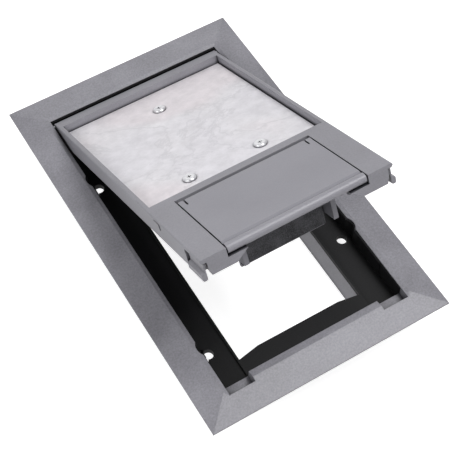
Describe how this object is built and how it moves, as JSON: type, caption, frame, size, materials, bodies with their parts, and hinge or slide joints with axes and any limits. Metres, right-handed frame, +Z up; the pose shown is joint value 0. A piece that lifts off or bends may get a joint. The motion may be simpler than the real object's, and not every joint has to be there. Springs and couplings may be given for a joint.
{
  "type": "floor box cover",
  "caption": "Rectangular floor box cover with a bevelled trim frame, a hinged recessed lid for a floor finish and a hinged cable door in the lid's front edge.",
  "frame": {"origin": "centre of the cover's plan, at the bottom edge of the collar", "axes": "+Z up out of the floor, +Y along the cover towards the lid's hinge, +X to the right seen from the cable door's end"},
  "size_m": [0.19, 0.305, 0.157],
  "materials": {
    "frame_grey": "mid grey moulding, fine satin grain",
    "lid_grey": "mid grey moulding, fine satin grain",
    "door_grey": "mid grey moulding, satin, smoother on the rolled edge",
    "guard_grey": "mid grey moulding",
    "liner_black": "black moulding, fine matt grain",
    "plate_steel": "galvanised sheet, faintly mottled",
    "screw_steel": "zinc-plated steel",
    "pin_steel": "plain steel wire",
    "pad_dark": "dark closed-cell foam"
  },
  "bodies": {
    "frame": {"trim_frame": "frame_grey", "well_liner": "liner_black", "lid_hinge_pins": "pin_steel"},
    "lid": {"lid_frame": "lid_grey", "insert_plate": "plate_steel", "plate_screws": "screw_steel", "cable_guard": "guard_grey", "guard_pad": "pad_dark", "flap_hinge_pins": "pin_steel"},
    "flap": {"cable_flap": "door_grey"}
  },
  "joints": [
    {"name": "lid_hinge", "type": "hinge", "parent": "frame", "child": "lid", "pos_m": [0, 0.1231, 0.0401], "axis": [-1, 0, 0], "range_deg": [-27.5, 72.5]},
    {"name": "flap_hinge", "type": "hinge", "parent": "lid", "child": "flap", "pos_m": [0, -0.03798, 0.12395], "axis": [-1, 0, 0], "range_deg": [0, 100]}
  ]
}
